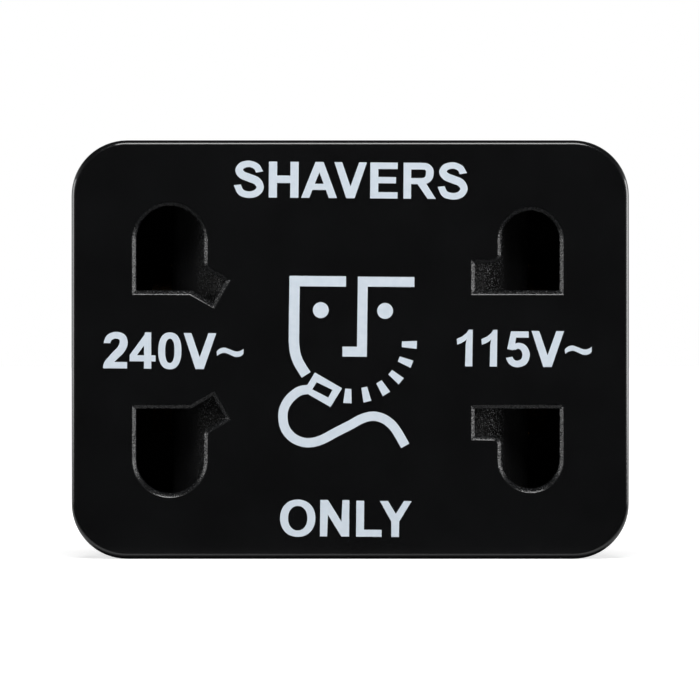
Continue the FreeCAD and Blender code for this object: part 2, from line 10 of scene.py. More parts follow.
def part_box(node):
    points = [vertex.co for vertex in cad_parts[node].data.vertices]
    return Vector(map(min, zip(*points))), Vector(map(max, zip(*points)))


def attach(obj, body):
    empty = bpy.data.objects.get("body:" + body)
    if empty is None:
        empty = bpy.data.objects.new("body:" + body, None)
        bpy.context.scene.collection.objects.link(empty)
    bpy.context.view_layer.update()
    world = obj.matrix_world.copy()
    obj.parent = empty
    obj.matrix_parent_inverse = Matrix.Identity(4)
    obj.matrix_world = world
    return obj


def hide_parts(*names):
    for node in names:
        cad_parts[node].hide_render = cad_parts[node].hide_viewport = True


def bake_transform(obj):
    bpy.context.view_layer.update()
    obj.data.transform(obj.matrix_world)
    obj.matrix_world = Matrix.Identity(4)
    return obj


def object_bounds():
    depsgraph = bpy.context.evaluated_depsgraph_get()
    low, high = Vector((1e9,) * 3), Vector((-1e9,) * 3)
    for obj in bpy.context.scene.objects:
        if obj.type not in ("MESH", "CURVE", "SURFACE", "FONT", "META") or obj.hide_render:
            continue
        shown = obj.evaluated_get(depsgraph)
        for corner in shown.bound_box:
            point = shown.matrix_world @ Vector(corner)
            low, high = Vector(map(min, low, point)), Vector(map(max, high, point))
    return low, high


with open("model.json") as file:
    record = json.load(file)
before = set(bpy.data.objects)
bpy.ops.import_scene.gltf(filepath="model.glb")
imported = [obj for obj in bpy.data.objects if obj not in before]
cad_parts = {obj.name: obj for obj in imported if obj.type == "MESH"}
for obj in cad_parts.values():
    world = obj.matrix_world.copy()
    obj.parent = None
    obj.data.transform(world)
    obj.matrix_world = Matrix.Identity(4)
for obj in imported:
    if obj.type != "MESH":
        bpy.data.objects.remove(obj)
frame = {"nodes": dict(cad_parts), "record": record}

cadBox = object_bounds()
mm = 0.001
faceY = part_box("front_moulding")[0][1]
print("frame loaded:", len(frame["nodes"]), "nodes")


# helpers for meshes

def makePiece(name, verts, faces, material, body, smooth=None):
    # verts are in millimetres in the part's own frame, and smooth is an angle in degrees
    mesh = bpy.data.meshes.new(name)
    mesh.from_pydata([tuple(c * mm for c in v) for v in verts], [], faces)
    mesh.validate()
    mesh.update()
    mesh.materials.append(material)
    if smooth is not None:
        mesh.shade_smooth()
        mesh.set_sharp_from_angle(angle=math.radians(smooth))
    piece = bpy.data.objects.new(name, mesh)
    bpy.context.scene.collection.objects.link(piece)
    if body:
        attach(piece, body)
    return piece


def around(steps):
    # cosine and sine at even steps round a circle
    return [(math.cos(2 * math.pi * k / steps), math.sin(2 * math.pi * k / steps)) for k in range(steps)]


def onCurve(a, b, c, d, t):
    # from b at 0 to c at 1, with a before them and d after
    bend = 2 * a - 5 * b + 4 * c - d
    twist = 3 * b - a - 3 * c + d
    return 0.5 * (2 * b + (c - a) * t + bend * t * t + twist * t ** 3)


def smoothLine(points, steps=8):
    # an even curve through the points; each point may carry extra numbers such as a width
    before = tuple(2 * a - b for a, b in zip(points[0], points[1]))
    after = tuple(2 * a - b for a, b in zip(points[-1], points[-2]))
    ends = [before] + list(points) + [after]
    line = []
    for i in range(1, len(ends) - 2):
        for k in range(steps):
            line.append(tuple(onCurve(*values, k / steps) for values in zip(*ends[i - 1:i + 3])))
    line.append(tuple(points[-1]))
    return line


def ribbon(line, width=None, sharpest=0.35):
    # outline of a stroke: (x, y) or (x, y, width) points, mitred at each bend
    left, right = [], []
    for i, point in enumerate(line):
        here = Vector(point[:2])
        half = (point[2] if width is None else width) / 2
        before = (here - Vector(line[i - 1][:2])).normalized() if i else None
        after = (Vector(line[i + 1][:2]) - here).normalized() if i < len(line) - 1 else None
        way = (before or after) + (after or before)
        way.normalize()
        square = Vector((-way.y, way.x))
        run = before or after
        reach = half / max(sharpest, square.dot(Vector((-run.y, run.x))))
        left.append(here + square * reach)
        right.append(here - square * reach)
    return [tuple(p) for p in left + right[::-1]]


def ribbonQuads(line, width=None):
    # the same stroke as a row of quads, for one that bends back on itself
    outline = ribbon(line, width)
    return [[outline[i], outline[i + 1], outline[-2 - i], outline[-1 - i]] for i in range(len(line) - 1)]


def ringQuads(centre, outer, inner, power, steps=56):
    # a letter O: outer and inner are (half width, half height), and power squares the curve
    def spot(half, k):
        a = 2 * math.pi * k / steps
        c, s = math.cos(a), math.sin(a)
        return (centre[0] + half[0] * math.copysign(abs(c) ** (2 / power), c),
                centre[1] + half[1] * math.copysign(abs(s) ** (2 / power), s))

    return [[spot(outer, k), spot(outer, k + 1), spot(inner, k + 1), spot(inner, k)] for k in range(steps)]


def disc(centre, radius, steps=40):
    return [(centre[0] + radius * c, centre[1] + radius * s) for c, s in around(steps)]


def block(x0, z0, x1, z1):
    return [(x0, z0), (x1, z0), (x1, z1), (x0, z1)]


# helpers for materials

def newMaterial(name, **sockets):
    material = bpy.data.materials.new(name)
    material.use_nodes = True
    shader = material.node_tree.nodes["Principled BSDF"]
    for socket, value in sockets.items():
        shader.inputs[socket.replace("_", " ")].default_value = value
    return material, material.node_tree, shader


def addNode(tree, kind, **settings):
    node = tree.nodes.new(kind)
    for key, value in settings.items():
        if key in node.inputs:
            node.inputs[key].default_value = value
        else:
            setattr(node, key, value)
    return node


def plug(tree, value, socket):
    # a plain number is set on the socket, and an output is linked to it
    if isinstance(value, (int, float)):
        socket.default_value = value
    else:
        tree.links.new(value, socket)


def combined(tree, operation, *values):
    node = addNode(tree, "ShaderNodeMath", operation=operation)
    for socket, value in zip(node.inputs, values):
        plug(tree, value, socket)
    return node.outputs[0]


def times(tree, one, other):
    return combined(tree, "MULTIPLY", one, other)


def blended(tree, share, one, other):
    # one where the share is 0 and the other where it is 1
    node = addNode(tree, "ShaderNodeMix", data_type="FLOAT")
    plug(tree, share, node.inputs[0])
    plug(tree, one, node.inputs[2])
    plug(tree, other, node.inputs[3])
    return node.outputs[0]


def axes(tree, vector):
    node = tree.nodes.new("ShaderNodeSeparateXYZ")
    tree.links.new(vector, node.inputs[0])
    return node.outputs["X"], node.outputs["Y"], node.outputs["Z"]


def place(tree, stretch=(1, 1, 1)):
    # the piece's own coordinates in millimetres, stretched for drawn and rolled marks
    spot = tree.nodes.new("ShaderNodeTexCoord")
    mapping = tree.nodes.new("ShaderNodeMapping")
    mapping.inputs["Scale"].default_value = [s / mm for s in stretch]
    tree.links.new(spot.outputs["Object"], mapping.inputs["Vector"])
    return mapping.outputs["Vector"]


def noise(tree, vector, scale, detail=4.0, roughness=0.55):
    node = addNode(tree, "ShaderNodeTexNoise", Scale=scale, Detail=detail, Roughness=roughness)
    tree.links.new(vector, node.inputs["Vector"])
    return node.outputs["Fac"]


def ramp(tree, value, low, high, fromLow=0.3, fromHigh=0.7):
    node = tree.nodes.new("ShaderNodeMapRange")
    node.inputs["From Min"].default_value = fromLow
    node.inputs["From Max"].default_value = fromHigh
    node.inputs["To Min"].default_value = low
    node.inputs["To Max"].default_value = high
    tree.links.new(value, node.inputs["Value"])
    return node.outputs["Result"]


def tint(tree, value, low, high, fromLow=0.35, fromHigh=0.65):
    node = tree.nodes.new("ShaderNodeValToRGB")
    first, last = node.color_ramp.elements
    first.position = fromLow
    first.color = (*low, 1)
    last.position = fromHigh
    last.color = (*high, 1)
    tree.links.new(value, node.inputs["Fac"])
    return node.outputs["Color"]


def bump(tree, shader, value, distance, onto=None):
    # distance is in millimetres, and onto is a normal that already has a bump
    node = addNode(tree, "ShaderNodeBump", Strength=1.0, Distance=distance * mm)
    tree.links.new(value, node.inputs["Height"])
    if onto is not None:
        tree.links.new(onto, node.inputs["Normal"])
    tree.links.new(node.outputs["Normal"], shader.inputs["Normal"])
    return node.outputs["Normal"]


def paintedGlints(tree, shader, share, colour):
    # painted glints: lighter flecks over what already colours the shader
    node = addNode(tree, "ShaderNodeMix", data_type="RGBA")
    tree.links.new(share, node.inputs[0])
    tree.links.new(shader.inputs["Base Color"].links[0].from_socket, node.inputs[6])
    node.inputs[7].default_value = (*colour, 1)
    tree.links.new(node.outputs[2], shader.inputs["Base Color"])


# plastics

moulding = {
    "specular": 0.5,
    "refraction": 1.5,
    "cloudScale": 0.18,
    "cloudDetail": 3.0,
    "grainDetail": 5.0,
    "grainRoughness": 0.6,
    "glossSpread": 0.05,
}

# spark eroded pebbles; on the slide's shoulders lighter flecks along the crown are a painted highlight,
# brighter on the right
slidePebbles = {
    "scale": 6.5,
    "depth": 0.040,
    "stretch": (1.4, 1, 0.8),
    "glintColour": (0.640, 0.648, 0.660),
    "fleckScale": 9.75,
    "fleckDetail": 1.0,
    "fleckFades": (0.58, 0.70),
    "highlightFrom": (11.6, 12.8),
    "highlightTo": (12.9, 14.2),
    "highlightLeft": 0.30,
}
coverPebbles = {
    "scale": 4.5,
    "depth": 0.008,
}
plastics = {
    "face_plastic": {
        "low": (0.0035, 0.0036, 0.0039), "high": (0.0047, 0.0049, 0.0053),
        "roughness": 0.20, "grainScale": 9.0, "grainDepth": 0.0009,
    },
    "shutter_plastic": {
        "low": (0.0080, 0.0081, 0.0084), "high": (0.0125, 0.0127, 0.0132),
        "roughness": 0.17, "grainScale": 7.0, "grainDepth": 0.004, "pebbles": slidePebbles,
    },
    "block_plastic": {
        "low": (0.004, 0.004, 0.0042), "high": (0.006, 0.006, 0.0062),
        "roughness": 0.5, "grainScale": 5.0, "grainDepth": 0.003,
    },
    "cover_plastic": {
        "low": (0.012, 0.012, 0.0125), "high": (0.020, 0.020, 0.021),
        "roughness": 0.48, "grainScale": 6.0, "grainDepth": 0.004, "pebbles": coverPebbles,
    },
}


# a painted highlight: lighter flecks along the crown of the slide's shoulders, fainter on the left
def crownHighlightFlecks(tree, shader, spot, pebbled, pebbles):
    x = axes(tree, spot)[0]
    outwards = combined(tree, "ABSOLUTE", x)
    highlit = times(tree, ramp(tree, outwards, 0.0, 1.0, *pebbles["highlightFrom"]),
                 ramp(tree, outwards, 1.0, 0.0, *pebbles["highlightTo"]))
    highlit = times(tree, highlit, ramp(tree, x, pebbles["highlightLeft"], 1.0, -1.0, 1.0))
    glintFlecks = ramp(tree, noise(tree, pebbled, pebbles["fleckScale"], pebbles["fleckDetail"]),
                  0.0, 1.0, *pebbles["fleckFades"])
    paintedGlints(tree, shader, times(tree, glintFlecks, highlit), pebbles["glintColour"])


def mouldedPlastic(name, low, high, roughness, grainScale, grainDepth, pebbles=None):
    # cloudy colour, uneven gloss, a fine grain and, if asked, pebbles over it
    material, tree, shader = newMaterial(name, Specular_IOR_Level=moulding["specular"],
                                         IOR=moulding["refraction"])
    spot = place(tree)
    cloud = noise(tree, spot, moulding["cloudScale"], moulding["cloudDetail"])
    grain = noise(tree, spot, grainScale, moulding["grainDetail"], moulding["grainRoughness"])
    spread = moulding["glossSpread"]
    tree.links.new(tint(tree, cloud, low, high), shader.inputs["Base Color"])
    tree.links.new(ramp(tree, grain, roughness - spread, roughness + spread), shader.inputs["Roughness"])
    normal = bump(tree, shader, grain, grainDepth)
    if pebbles:
        pebbled = place(tree, pebbles.get("stretch", (1, 1, 1)))
        cells = addNode(tree, "ShaderNodeTexVoronoi", Scale=pebbles["scale"], Randomness=1.0)
        tree.links.new(pebbled, cells.inputs["Vector"])
        bump(tree, shader, cells.outputs["Distance"], pebbles["depth"], normal)
        if "glintColour" in pebbles:
            crownHighlightFlecks(tree, shader, spot, pebbled, pebbles)
    return material


# metals

rolling = {
    "lineDetail": 4.0,
    "lineRoughness": 0.6,
    "cloudScale": 0.35,
    "cloudDetail": 4.0,
    "glossBelow": 0.07,
    "glossAbove": 0.09,
}
# steady is how much of the colour follows the rolled lines, and spots is added to the roughest places
metals = {
    "contact_bronze": {
        "low": (0.52, 0.29, 0.15), "high": (0.74, 0.47, 0.27),
        "roughness": 0.30, "stretch": (0.15, 1, 1), "scale": 14.0, "depth": 0.0010,
    },
    "terminal_brass": {
        "low": (0.64, 0.46, 0.19), "high": (0.82, 0.64, 0.32),
        "roughness": 0.32, "stretch": (1, 0.08, 1), "scale": 12.0, "depth": 0.0008, "steady": 0.75,
    },
    "rivet_brass": {
        "low": (0.58, 0.42, 0.18), "high": (0.80, 0.63, 0.34),
        "roughness": 0.26, "stretch": (1, 1, 1), "scale": 8.0, "depth": 0.0015,
    },
    "spring_steel": {
        "low": (0.40, 0.41, 0.43), "high": (0.60, 0.61, 0.63),
        "roughness": 0.28, "stretch": (0.3, 1, 1), "scale": 16.0, "depth": 0.0008,
    },
    "clip_steel": {
        "low": (0.48, 0.49, 0.51), "high": (0.68, 0.69, 0.71),
        "roughness": 0.30, "stretch": (0.05, 1, 1), "scale": 16.0, "depth": 0.0010, "steady": 0.8,
    },
    "screw_steel": {
        "low": (0.52, 0.54, 0.56), "high": (0.70, 0.71, 0.71),
        "roughness": 0.33, "stretch": (1, 1, 1), "scale": 10.0, "depth": 0.0012, "spots": 0.05,
    },
}


def rolledMetal(name, low, high, roughness, stretch, scale, depth, spots=0.0, steady=0.45):
    # long fine marks, a slow change of colour and a little tarnish
    material, tree, shader = newMaterial(name, Metallic=1.0)
    lines = noise(tree, place(tree, stretch), scale, rolling["lineDetail"], rolling["lineRoughness"])
    cloud = noise(tree, place(tree), rolling["cloudScale"], rolling["cloudDetail"])
    share = combined(tree, "MULTIPLY_ADD", lines, steady, combined(tree, "MULTIPLY", cloud, 1 - steady))
    gloss = ramp(tree, lines, roughness - rolling["glossBelow"], roughness + rolling["glossAbove"] + spots)
    tree.links.new(tint(tree, share, low, high), shader.inputs["Base Color"])
    tree.links.new(gloss, shader.inputs["Roughness"])
    bump(tree, shader, lines, depth)
    return material


slotMaterials = {slot: mouldedPlastic(slot, **look) for slot, look in plastics.items()}
slotMaterials.update({slot: rolledMetal(slot, **look) for slot, look in metals.items()})


# the chamfers round the apertures keep the tool's spark eroded grain as bumps, with lighter flecks over it
# that are painted glints, and the outer edge is polished
# fades are in millimetres: behind the face, and from the middle of the part
rims = {
    "behindFace": (0.01, 0.08),
    "beforeSkirt": (0.5, 0.6),
    "grainX": (22.2, 22.8),
    "grainZ": (15.0, 15.8),
    "scale": 6.5,
    "detail": 2.0,
    "depth": 0.048,
    "glintColour": (0.024, 0.025, 0.027),
    "fleckFades": (0.48, 0.72),
    "roughness": (0.09, 0.32),
    "glossScale": 5.2,
    "glossDetail": 1.0,
    "glossFades": (0.42, 0.62),
    "edgeRoughness": 0.12,
}


def grainedRims(material):
    tree = material.node_tree
    shader = tree.nodes["Principled BSDF"]
    spot = place(tree)
    x, y, z = axes(tree, spot)
    front = faceY / mm
    behindFace = ramp(tree, y, 0.0, 1.0, *(front + fade for fade in rims["behindFace"]))
    beforeSkirt = ramp(tree, y, 1.0, 0.0, *(front + fade for fade in rims["beforeSkirt"]))
    onEdge = times(tree, behindFace, beforeSkirt)
    byApertures = times(tree, ramp(tree, combined(tree, "ABSOLUTE", x), 1.0, 0.0, *rims["grainX"]),
                        ramp(tree, combined(tree, "ABSOLUTE", z), 1.0, 0.0, *rims["grainZ"]))
    onRim = times(tree, onEdge, byApertures)

    grain = noise(tree, spot, rims["scale"], rims["detail"])
    height = times(tree, ramp(tree, grain, -0.5, 0.5, 0.0, 1.0), onRim)
    bump(tree, shader, height, rims["depth"], shader.inputs["Normal"].links[0].from_socket)
    # lighter flecks on the rims: painted glints over the real grain
    glintFlecks = ramp(tree, grain, 0.0, 1.0, *rims["fleckFades"])
    paintedGlints(tree, shader, times(tree, glintFlecks, onRim), rims["glintColour"])

    rimGloss = ramp(tree, noise(tree, spot, rims["glossScale"], rims["glossDetail"]),
                    *rims["roughness"], *rims["glossFades"])
    edgeGloss = blended(tree, byApertures, rims["edgeRoughness"], rimGloss)
    allGloss = blended(tree, onEdge, shader.inputs["Roughness"].links[0].from_socket, edgeGloss)
    tree.links.new(allGloss, shader.inputs["Roughness"])


grainedRims(slotMaterials["face_plastic"])

ink = {
    "low": (0.650, 0.728, 0.808),
    "high": (0.695, 0.768, 0.842),
    "specular": 0.35,
    "cloudScale": 1.6,
    "cloudDetail": 5.0,
    "glossScale": 9.0,
    "roughness": (0.45, 0.6),
    "grainScale": 12.0,
    "grainDepth": 0.0015,
}
printInk, inkTree, inkShader = newMaterial("print_ink", Specular_IOR_Level=ink["specular"])
inkPlace = place(inkTree)
inkCloud = noise(inkTree, inkPlace, ink["cloudScale"], ink["cloudDetail"])
inkTree.links.new(tint(inkTree, inkCloud, ink["low"], ink["high"]), inkShader.inputs["Base Color"])
inkGloss = ramp(inkTree, noise(inkTree, inkPlace, ink["glossScale"]), *ink["roughness"])
inkTree.links.new(inkGloss, inkShader.inputs["Roughness"])
bump(inkTree, inkShader, noise(inkTree, inkPlace, ink["grainScale"]), ink["grainDepth"])

for part in frame["record"]["subparts"]:
    for holder in frame["nodes"][part["node"]].material_slots:
        holder.link = "OBJECT"
        holder.material = slotMaterials[part["material_slot"]]
print("finishes set on the nodes")


# softened edges: each part that shows is copied with its sharp edges rounded over a little

softEdges = {
    "front_moulding": ("moulding_soft", 0.09),
    "rear_cover": ("cover_soft", 0.10),
    "shutter_slide": ("slide_soft", 0.10),
    "terminal_240": ("terminal_240_soft", 0.05),
    "terminal_115": ("terminal_115_soft", 0.05),
    "terminal_common": ("terminal_common_soft", 0.05),
    "switch_strip_in": ("strip_in_soft", 0.05),
    "switch_strip_out": ("strip_out_soft", 0.05),
    "panel_clip_top": ("clip_top_soft", 0.04),
    "panel_clip_bottom": ("clip_bottom_soft", 0.04),
}
# angles between two faces are in degrees, and weld is in millimetres
softening = {
    "flatBelow": 0.2,
    "sharpFrom": 26,
    "creaseFrom": 38,
    "weld": 0.001,
    "segments": 2,
}


def softened(node, name, edge):
    solid = frame["nodes"][node]
    mesh = bmesh.new()
    mesh.from_mesh(solid.data)
    bmesh.ops.remove_doubles(mesh, verts=mesh.verts, dist=softening["weld"] * mm)
    bmesh.ops.dissolve_limit(mesh, angle_limit=math.radians(softening["flatBelow"]),
                             verts=mesh.verts, edges=mesh.edges)
    sharpFrom = math.radians(softening["sharpFrom"])
    sharp = [e for e in mesh.edges if e.is_manifold and e.calc_face_angle() > sharpFrom]
    bmesh.ops.bevel(mesh, geom=sharp, offset=edge * mm, offset_type="OFFSET", segments=softening["segments"],
                    profile=0.5, affect="EDGES", clamp_overlap=False)
    skin = bpy.data.meshes.new(name)
    mesh.to_mesh(skin)
    mesh.free()
    row = next(r for r in frame["record"]["subparts"] if r["node"] == node)
    skin.materials.append(slotMaterials[row["material_slot"]])
    skin.shade_smooth()
    skin.set_sharp_from_angle(angle=math.radians(softening["creaseFrom"]))
    piece = bpy.data.objects.new(name, skin)
    bpy.context.scene.collection.objects.link(piece)
    even = piece.modifiers.new("evenShading", "WEIGHTED_NORMAL")
    even.keep_sharp = True
    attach(piece, "shutter" if node == "shutter_slide" else "housing")
    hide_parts(node)


for node, (name, edge) in softEdges.items():
    softened(node, name, edge)
print("edges softened")


# printed markings

# letters are drawn in hundredths of the capital height, with the baseline at 0
# a point of a curved stroke is (x, y, width of the stroke)

def endCut(quads, start, end):
    # moves the corners of a stroke's ends: each is left, then right, as seen along the stroke
    quads[0][0], quads[0][3] = start
    quads[-1][1], quads[-1][2] = end
    return quads


def drawnS():
    middle = [(70.8, 71.4, 20.4), (62.5, 85.5, 19.4), (43.7, 92.6, 18.8), (23.5, 88, 20.2), (15.4, 74.8, 22),
              (24, 62.3, 23), (43.7, 54.2, 23.4), (64.5, 45.2, 23.0), (73.4, 28.6, 21.2), (64, 13.8, 20.4),
              (43.7, 8.2, 19.4), (21.2, 14.6, 20), (10.2, 35.4, 20.2)]
    stroke = ribbonQuads(smoothLine(middle, 7))
    return endCut(stroke, [(60.4, 67.9), (82.6, 71.9)], [(0.2, 34.3), (20.4, 36.8)])


def drawnTwo():
    middle = [(11.2, 69.4, 19.4), (13.0, 76.5, 19.4), (19, 86, 19.6), (34.5, 91.6, 19.8), (52, 86.5, 21.4),
              (57, 70.5, 23.6), (49.5, 52.5, 23.8), (34.6, 37, 23.6), (23.8, 25.4, 22)]
    foot = [(0, 0), (67.5, 0), (67.5, 19), (32, 19), (35, 22), (15.9, 33), (9.2, 26), (3.6, 17.8), (0.6, 9.5)]
    stroke = ribbonQuads(smoothLine(middle, 7))
    stroke[0][0], stroke[0][3] = (2.2, 69.2), (21.0, 68.8)
    return stroke + [foot]


def drawnFive():
    bowl = [(9.6, 27.2, 19.4), (18, 13.5, 19.4), (33, 8.4, 19.4), (50.5, 15.5, 21), (56.6, 34, 21.8),
            (50, 51.5, 20.4), (36, 58.2, 17.6), (22, 53.8, 17.2)]
    stem = [(3.9, 48.5), (20.2, 45.4), (26, 47.6), (27, 62), (29.4, 79.9), (29.4, 98.4), (14.2, 98.4)]
    stroke = ribbonQuads(smoothLine(bowl, 7))
    stroke[0][0], stroke[0][3] = (20.5, 29.0), (0.6, 25.2)
    return stroke + [stem, block(14.2, 79.9, 64, 98.4)]


def drawnR():
    bowl = [(20, 90, 20), (52, 90, 20), (64, 88.2, 20.4), (71.4, 80.5, 22.2), (72.6, 70.2, 22.8),
            (70.2, 59.4, 22), (62.5, 51.6, 19.6), (50, 49.2, 18.2), (20, 49.2, 18)]
    leg = [(66.9, 0), (91, 0), (62.2, 45), (44, 45), (37.5, 42)]
    return ribbonQuads(smoothLine(bowl, 6)) + [leg, block(0, 0, 22.3, 100)]


def drawnWave():
    over = [(0, 49.6), (9.5, 57.7), (22, 60.7), (35, 57),
            (49.6, 51.5), (58.8, 50.4), (68, 53.3), (75.4, 58.8)]
    under = [(1.8, 36), (11, 42.3), (23, 44.9), (35, 41.2),
             (49.6, 34.9), (60, 34.2), (68.5, 36.8), (75.2, 43)]
    top, low = smoothLine(over, 4), smoothLine(under, 4)
    return [[top[i], low[i], low[i + 1], top[i + 1]] for i in range(len(top) - 1)]


letters = {
    "S": drawnS(),
    "H": [block(0, 0, 24, 100), block(59, 0, 83, 100), block(20, 40.2, 63, 62)],
    "A": [[(0, 0), (24, 0), (62.5, 100), (39.3, 100)],
          [(76.5, 0), (100.5, 0), (62.5, 100), (39.3, 100)],
          [(18, 21.9), (82, 21.9), (76, 40.2), (25, 40.2)]],
    "V": [[(0, 100), (22.8, 100), (57.6, 0), (33.6, 0)],
          [(68.5, 100), (91.3, 100), (57.6, 0), (33.6, 0)]],
    "E": [block(0, 0, 23.6, 100), block(20, 0, 76.5, 18.8), block(20, 41.6, 72, 60.3),
          block(20, 80.8, 76.5, 100)],
    "R": drawnR(),
    "O": ringQuads((49.1, 50), (49.1, 51.8), (25.6, 32.8), 2.15),
    "N": [[(0, 0), (21, 0), (22.3, 59.2), (22.3, 101.5), (0, 101.5)],
          [(59, 0), (81.3, 0), (81.3, 101.5), (60.8, 101.5), (59, 42.7)],
          [(22.3, 101.5), (59, 42.7), (60, 0), (59, 0), (22.3, 59.2), (21, 101.5)]],
    "L": [block(0, 0, 23, 100), block(20, 0, 71.5, 20.8)],
    "Y": [[(32.8, 0), (55, 0), (55.6, 43.2), (45.3, 65.5), (32, 43.2)],
          [(0, 100), (24.1, 100), (45.3, 65.5), (55.6, 43.2), (32, 43.2)],
          [(66.8, 100), (89.6, 100), (55.6, 43.2), (32, 43.2), (45.3, 65.5)]],
    "2": drawnTwo(),
    "4": [[(39.5, 0), (61, 0), (60, 101), (45.5, 101), (39.5, 93)],
          block(0, 19.8, 72.6, 37.9),
          [(45.5, 101), (0, 37.9), (22, 37.9), (39.5, 63), (41, 101)]],
    "0": ringQuads((32.5, 50), (32.5, 51.2), (11.9, 32.6), 2.35),
    "1": [[(23.6, 0), (44.8, 0), (45.2, 102), (33, 102), (24.6, 60)],
          [(33, 102), (27.5, 93.2), (16, 83.6), (0, 76), (1.8, 59), (14, 63.8), (24.8, 70.5), (40, 90)]],
    "5": drawnFive(),
    "~": drawnWave(),
}

# each word: the baseline's height, then the left edge of each letter, in millimetres on the face
words = {
    "tilt": -0.0082,  # radians
    "capital": 3.336,
    "thickness": 0.015,
    "slim": 0.025,
    "shavers": (13.81, [("S", -10.80), ("H", -7.59), ("A", -4.64), ("V", -1.62), ("E", 1.68), ("R", 4.72),
                        ("S", 7.83)]),
    "only": (-17.12, [("O", -6.31), ("N", -2.65), ("L", 0.65), ("Y", 2.78)]),
    "240": (-1.92, [("2", -22.61), ("4", -20.18), ("0", -17.57), ("V", -15.27), ("~", -12.24)]),
    "115": (-1.47, [("1", 9.70), ("1", 11.95), ("5", 14.19), ("V", 16.52), ("~", 19.58)]),
}

# the usual sign for a shaver outlet: a face half shaved, the razor and its cord
# each hair: x, z, length, width and angle in degrees
sign = {
    "left": [(-0.41, 6.22), (-5.13, 6.22), (-5.15, 3.14)],
    "leftJaw": [(-5.15, 0.64), (-5.03, -0.32), (-4.72, -1.20), (-4.0, -2.37)],
    "leftStroke": 1.00,
    "right": [(5.84, 6.22), (1.10, 6.22), (1.07, -0.19), (-0.73, -0.19)],
    "rightStroke": 0.96,
    "eyes": [(-2.72, 3.58), (3.16, 3.56)],
    "eyeRadius": 0.75,
    "hairs": [(5.40, 0.50, 1.42, 0.68, -2), (5.05, -1.06, 1.35, 0.66, -21), (4.18, -2.45, 1.36, 0.70, -39),
              (3.00, -3.48, 1.36, 0.74, -58), (1.46, -4.09, 1.40, 0.70, -77),
              (-0.18, -4.24, 1.36, 0.72, -93)],
    "hairFlare": (0.84, 1.14),
    "razor": [(-3.22, -2.09), (-0.68, -3.53), (-1.75, -5.30), (-4.29, -3.87)],
    "window": [(-3.04, -3.04), (-1.62, -3.71), (-1.98, -4.37), (-3.40, -3.66)],
    "cord": [(-3.80, -3.67), (-4.63, -3.84), (-5.47, -4.50), (-5.98, -5.36), (-6.10, -6.30), (-5.88, -7.27),
             (-5.27, -8.03), (-4.42, -8.46), (-3.48, -8.53), (-2.49, -8.24), (-1.30, -7.60), (0.12, -6.86),
             (0.95, -6.39), (1.72, -6.12), (2.46, -6.10), (3.24, -6.37), (3.96, -6.95), (4.52, -7.75),
             (5.11, -8.78)],
    "cordStroke": 0.90,
}


def covers(sides, spot):
    inside = False
    for a, b in sides:
        if (a[1] > spot[1]) != (b[1] > spot[1]):
            if spot[0] < a[0] + (b[0] - a[0]) * (spot[1] - a[1]) / (b[1] - a[1]):
                inside = not inside
    return inside


def sheet(spots, edges, polygons, regions, tolerance=1e-5):
    # a flat sheet with no face over another, kept where one of the regions covers it
    found = delaunay_2d_cdt(spots, edges, polygons, 0, tolerance)
    flat = [tuple(v) for v in found[0]]
    faces = []
    for face in found[2]:
        middle = [sum(flat[i][k] for i in face) / len(face) for k in (0, 1)]
        if any(covers(sides, middle) for sides in regions):
            faces.append(tuple(face))
    return flat, faces


def joined(outlines):
    # one sheet over all the outlines, each of which is turned to run anticlockwise
    spots, polygons = [], []
    for outline in outlines:
        area = sum(a[0] * b[1] - b[0] * a[1] for a, b in zip(outline, outline[1:] + outline[:1]))
        if area < 0:
            outline = outline[::-1]
        polygons.append(list(range(len(spots), len(spots) + len(outline))))
        spots += [Vector(p) for p in outline]
    return sheet(spots, [], polygons, [list(zip(o, o[1:] + o[:1])) for o in outlines])


def borderOf(faces):
    # sides that only one face has
    sides = {(a, b) for face in faces for a, b in zip(face, face[1:] + face[:1])}
    return sorted((a, b) for a, b in sides if (b, a) not in sides)


def slimmed(flat, faces, by, leastTurn=0.3, sharpest=0.5):
    # the same sheet with its border moved inwards; a corner that folds back stays where it is
    border = borderOf(faces)
    inwards = {}
    for a, b in border:
        run = (Vector(flat[b]) - Vector(flat[a])).normalized()
        for i in (a, b):
            inwards.setdefault(i, []).append(Vector((-run.y, run.x)))
    spots, numbers = [], {}
    for i, squares in inwards.items():
        way = sum(squares, Vector((0, 0)))
        spot = Vector(flat[i])
        if len(squares) == 2 and way.length > leastTurn:
            way.normalize()
            spot = spot + way * by / max(sharpest, way.dot(squares[0]))
        numbers[i] = len(spots)
        spots.append(spot)
    edges = [(numbers[a], numbers[b]) for a, b in border]
    return sheet(spots, edges, [], [[(spots[a], spots[b]) for a, b in edges]])


def printed(name, outlines):
    # raises the outlines off the face by the thickness of the ink
    flat, faces = slimmed(*joined(outlines), words["slim"])
    cos, sin = math.cos(words["tilt"]), math.sin(words["tilt"])
    flat = [(x * cos - z * sin, x * sin + z * cos) for x, z in flat]
    base = faceY / mm
    top = base - words["thickness"]
    verts = [(x, top, z) for x, z in flat] + [(x, base, z) for x, z in flat]
    count = len(flat)
    walls = [(a, b, b + count, a + count) for a, b in borderOf(faces)]
    back = [tuple(i + count for i in reversed(face)) for face in faces]
    piece = makePiece(name, verts, faces + walls + back, printInk, "housing")
    mesh = piece.data
    if sum(p.normal.y * p.area for p in mesh.polygons[:len(faces)]) > 0:
        mesh.flip_normals()


def word(name, key):
    height, row = words[key]
    size = words["capital"] / 100
    outlines = []
    for letter, left in row:
        outlines += [[(left + x * size, height + z * size) for x, z in o] for o in letters[letter]]
    printed(name, outlines)


def hair(x, z, length, width, angle):
    root, tip = sign["hairFlare"]
    along = Vector((math.cos(math.radians(angle)), math.sin(math.radians(angle)))) * (length / 2)
    across = Vector((-along.y, along.x)).normalized() * (width / 2)
    middle = Vector((x, z))
    return [tuple(middle - along - across * root), tuple(middle + along - across * tip),
            tuple(middle + along + across * tip), tuple(middle - along + across * root)]


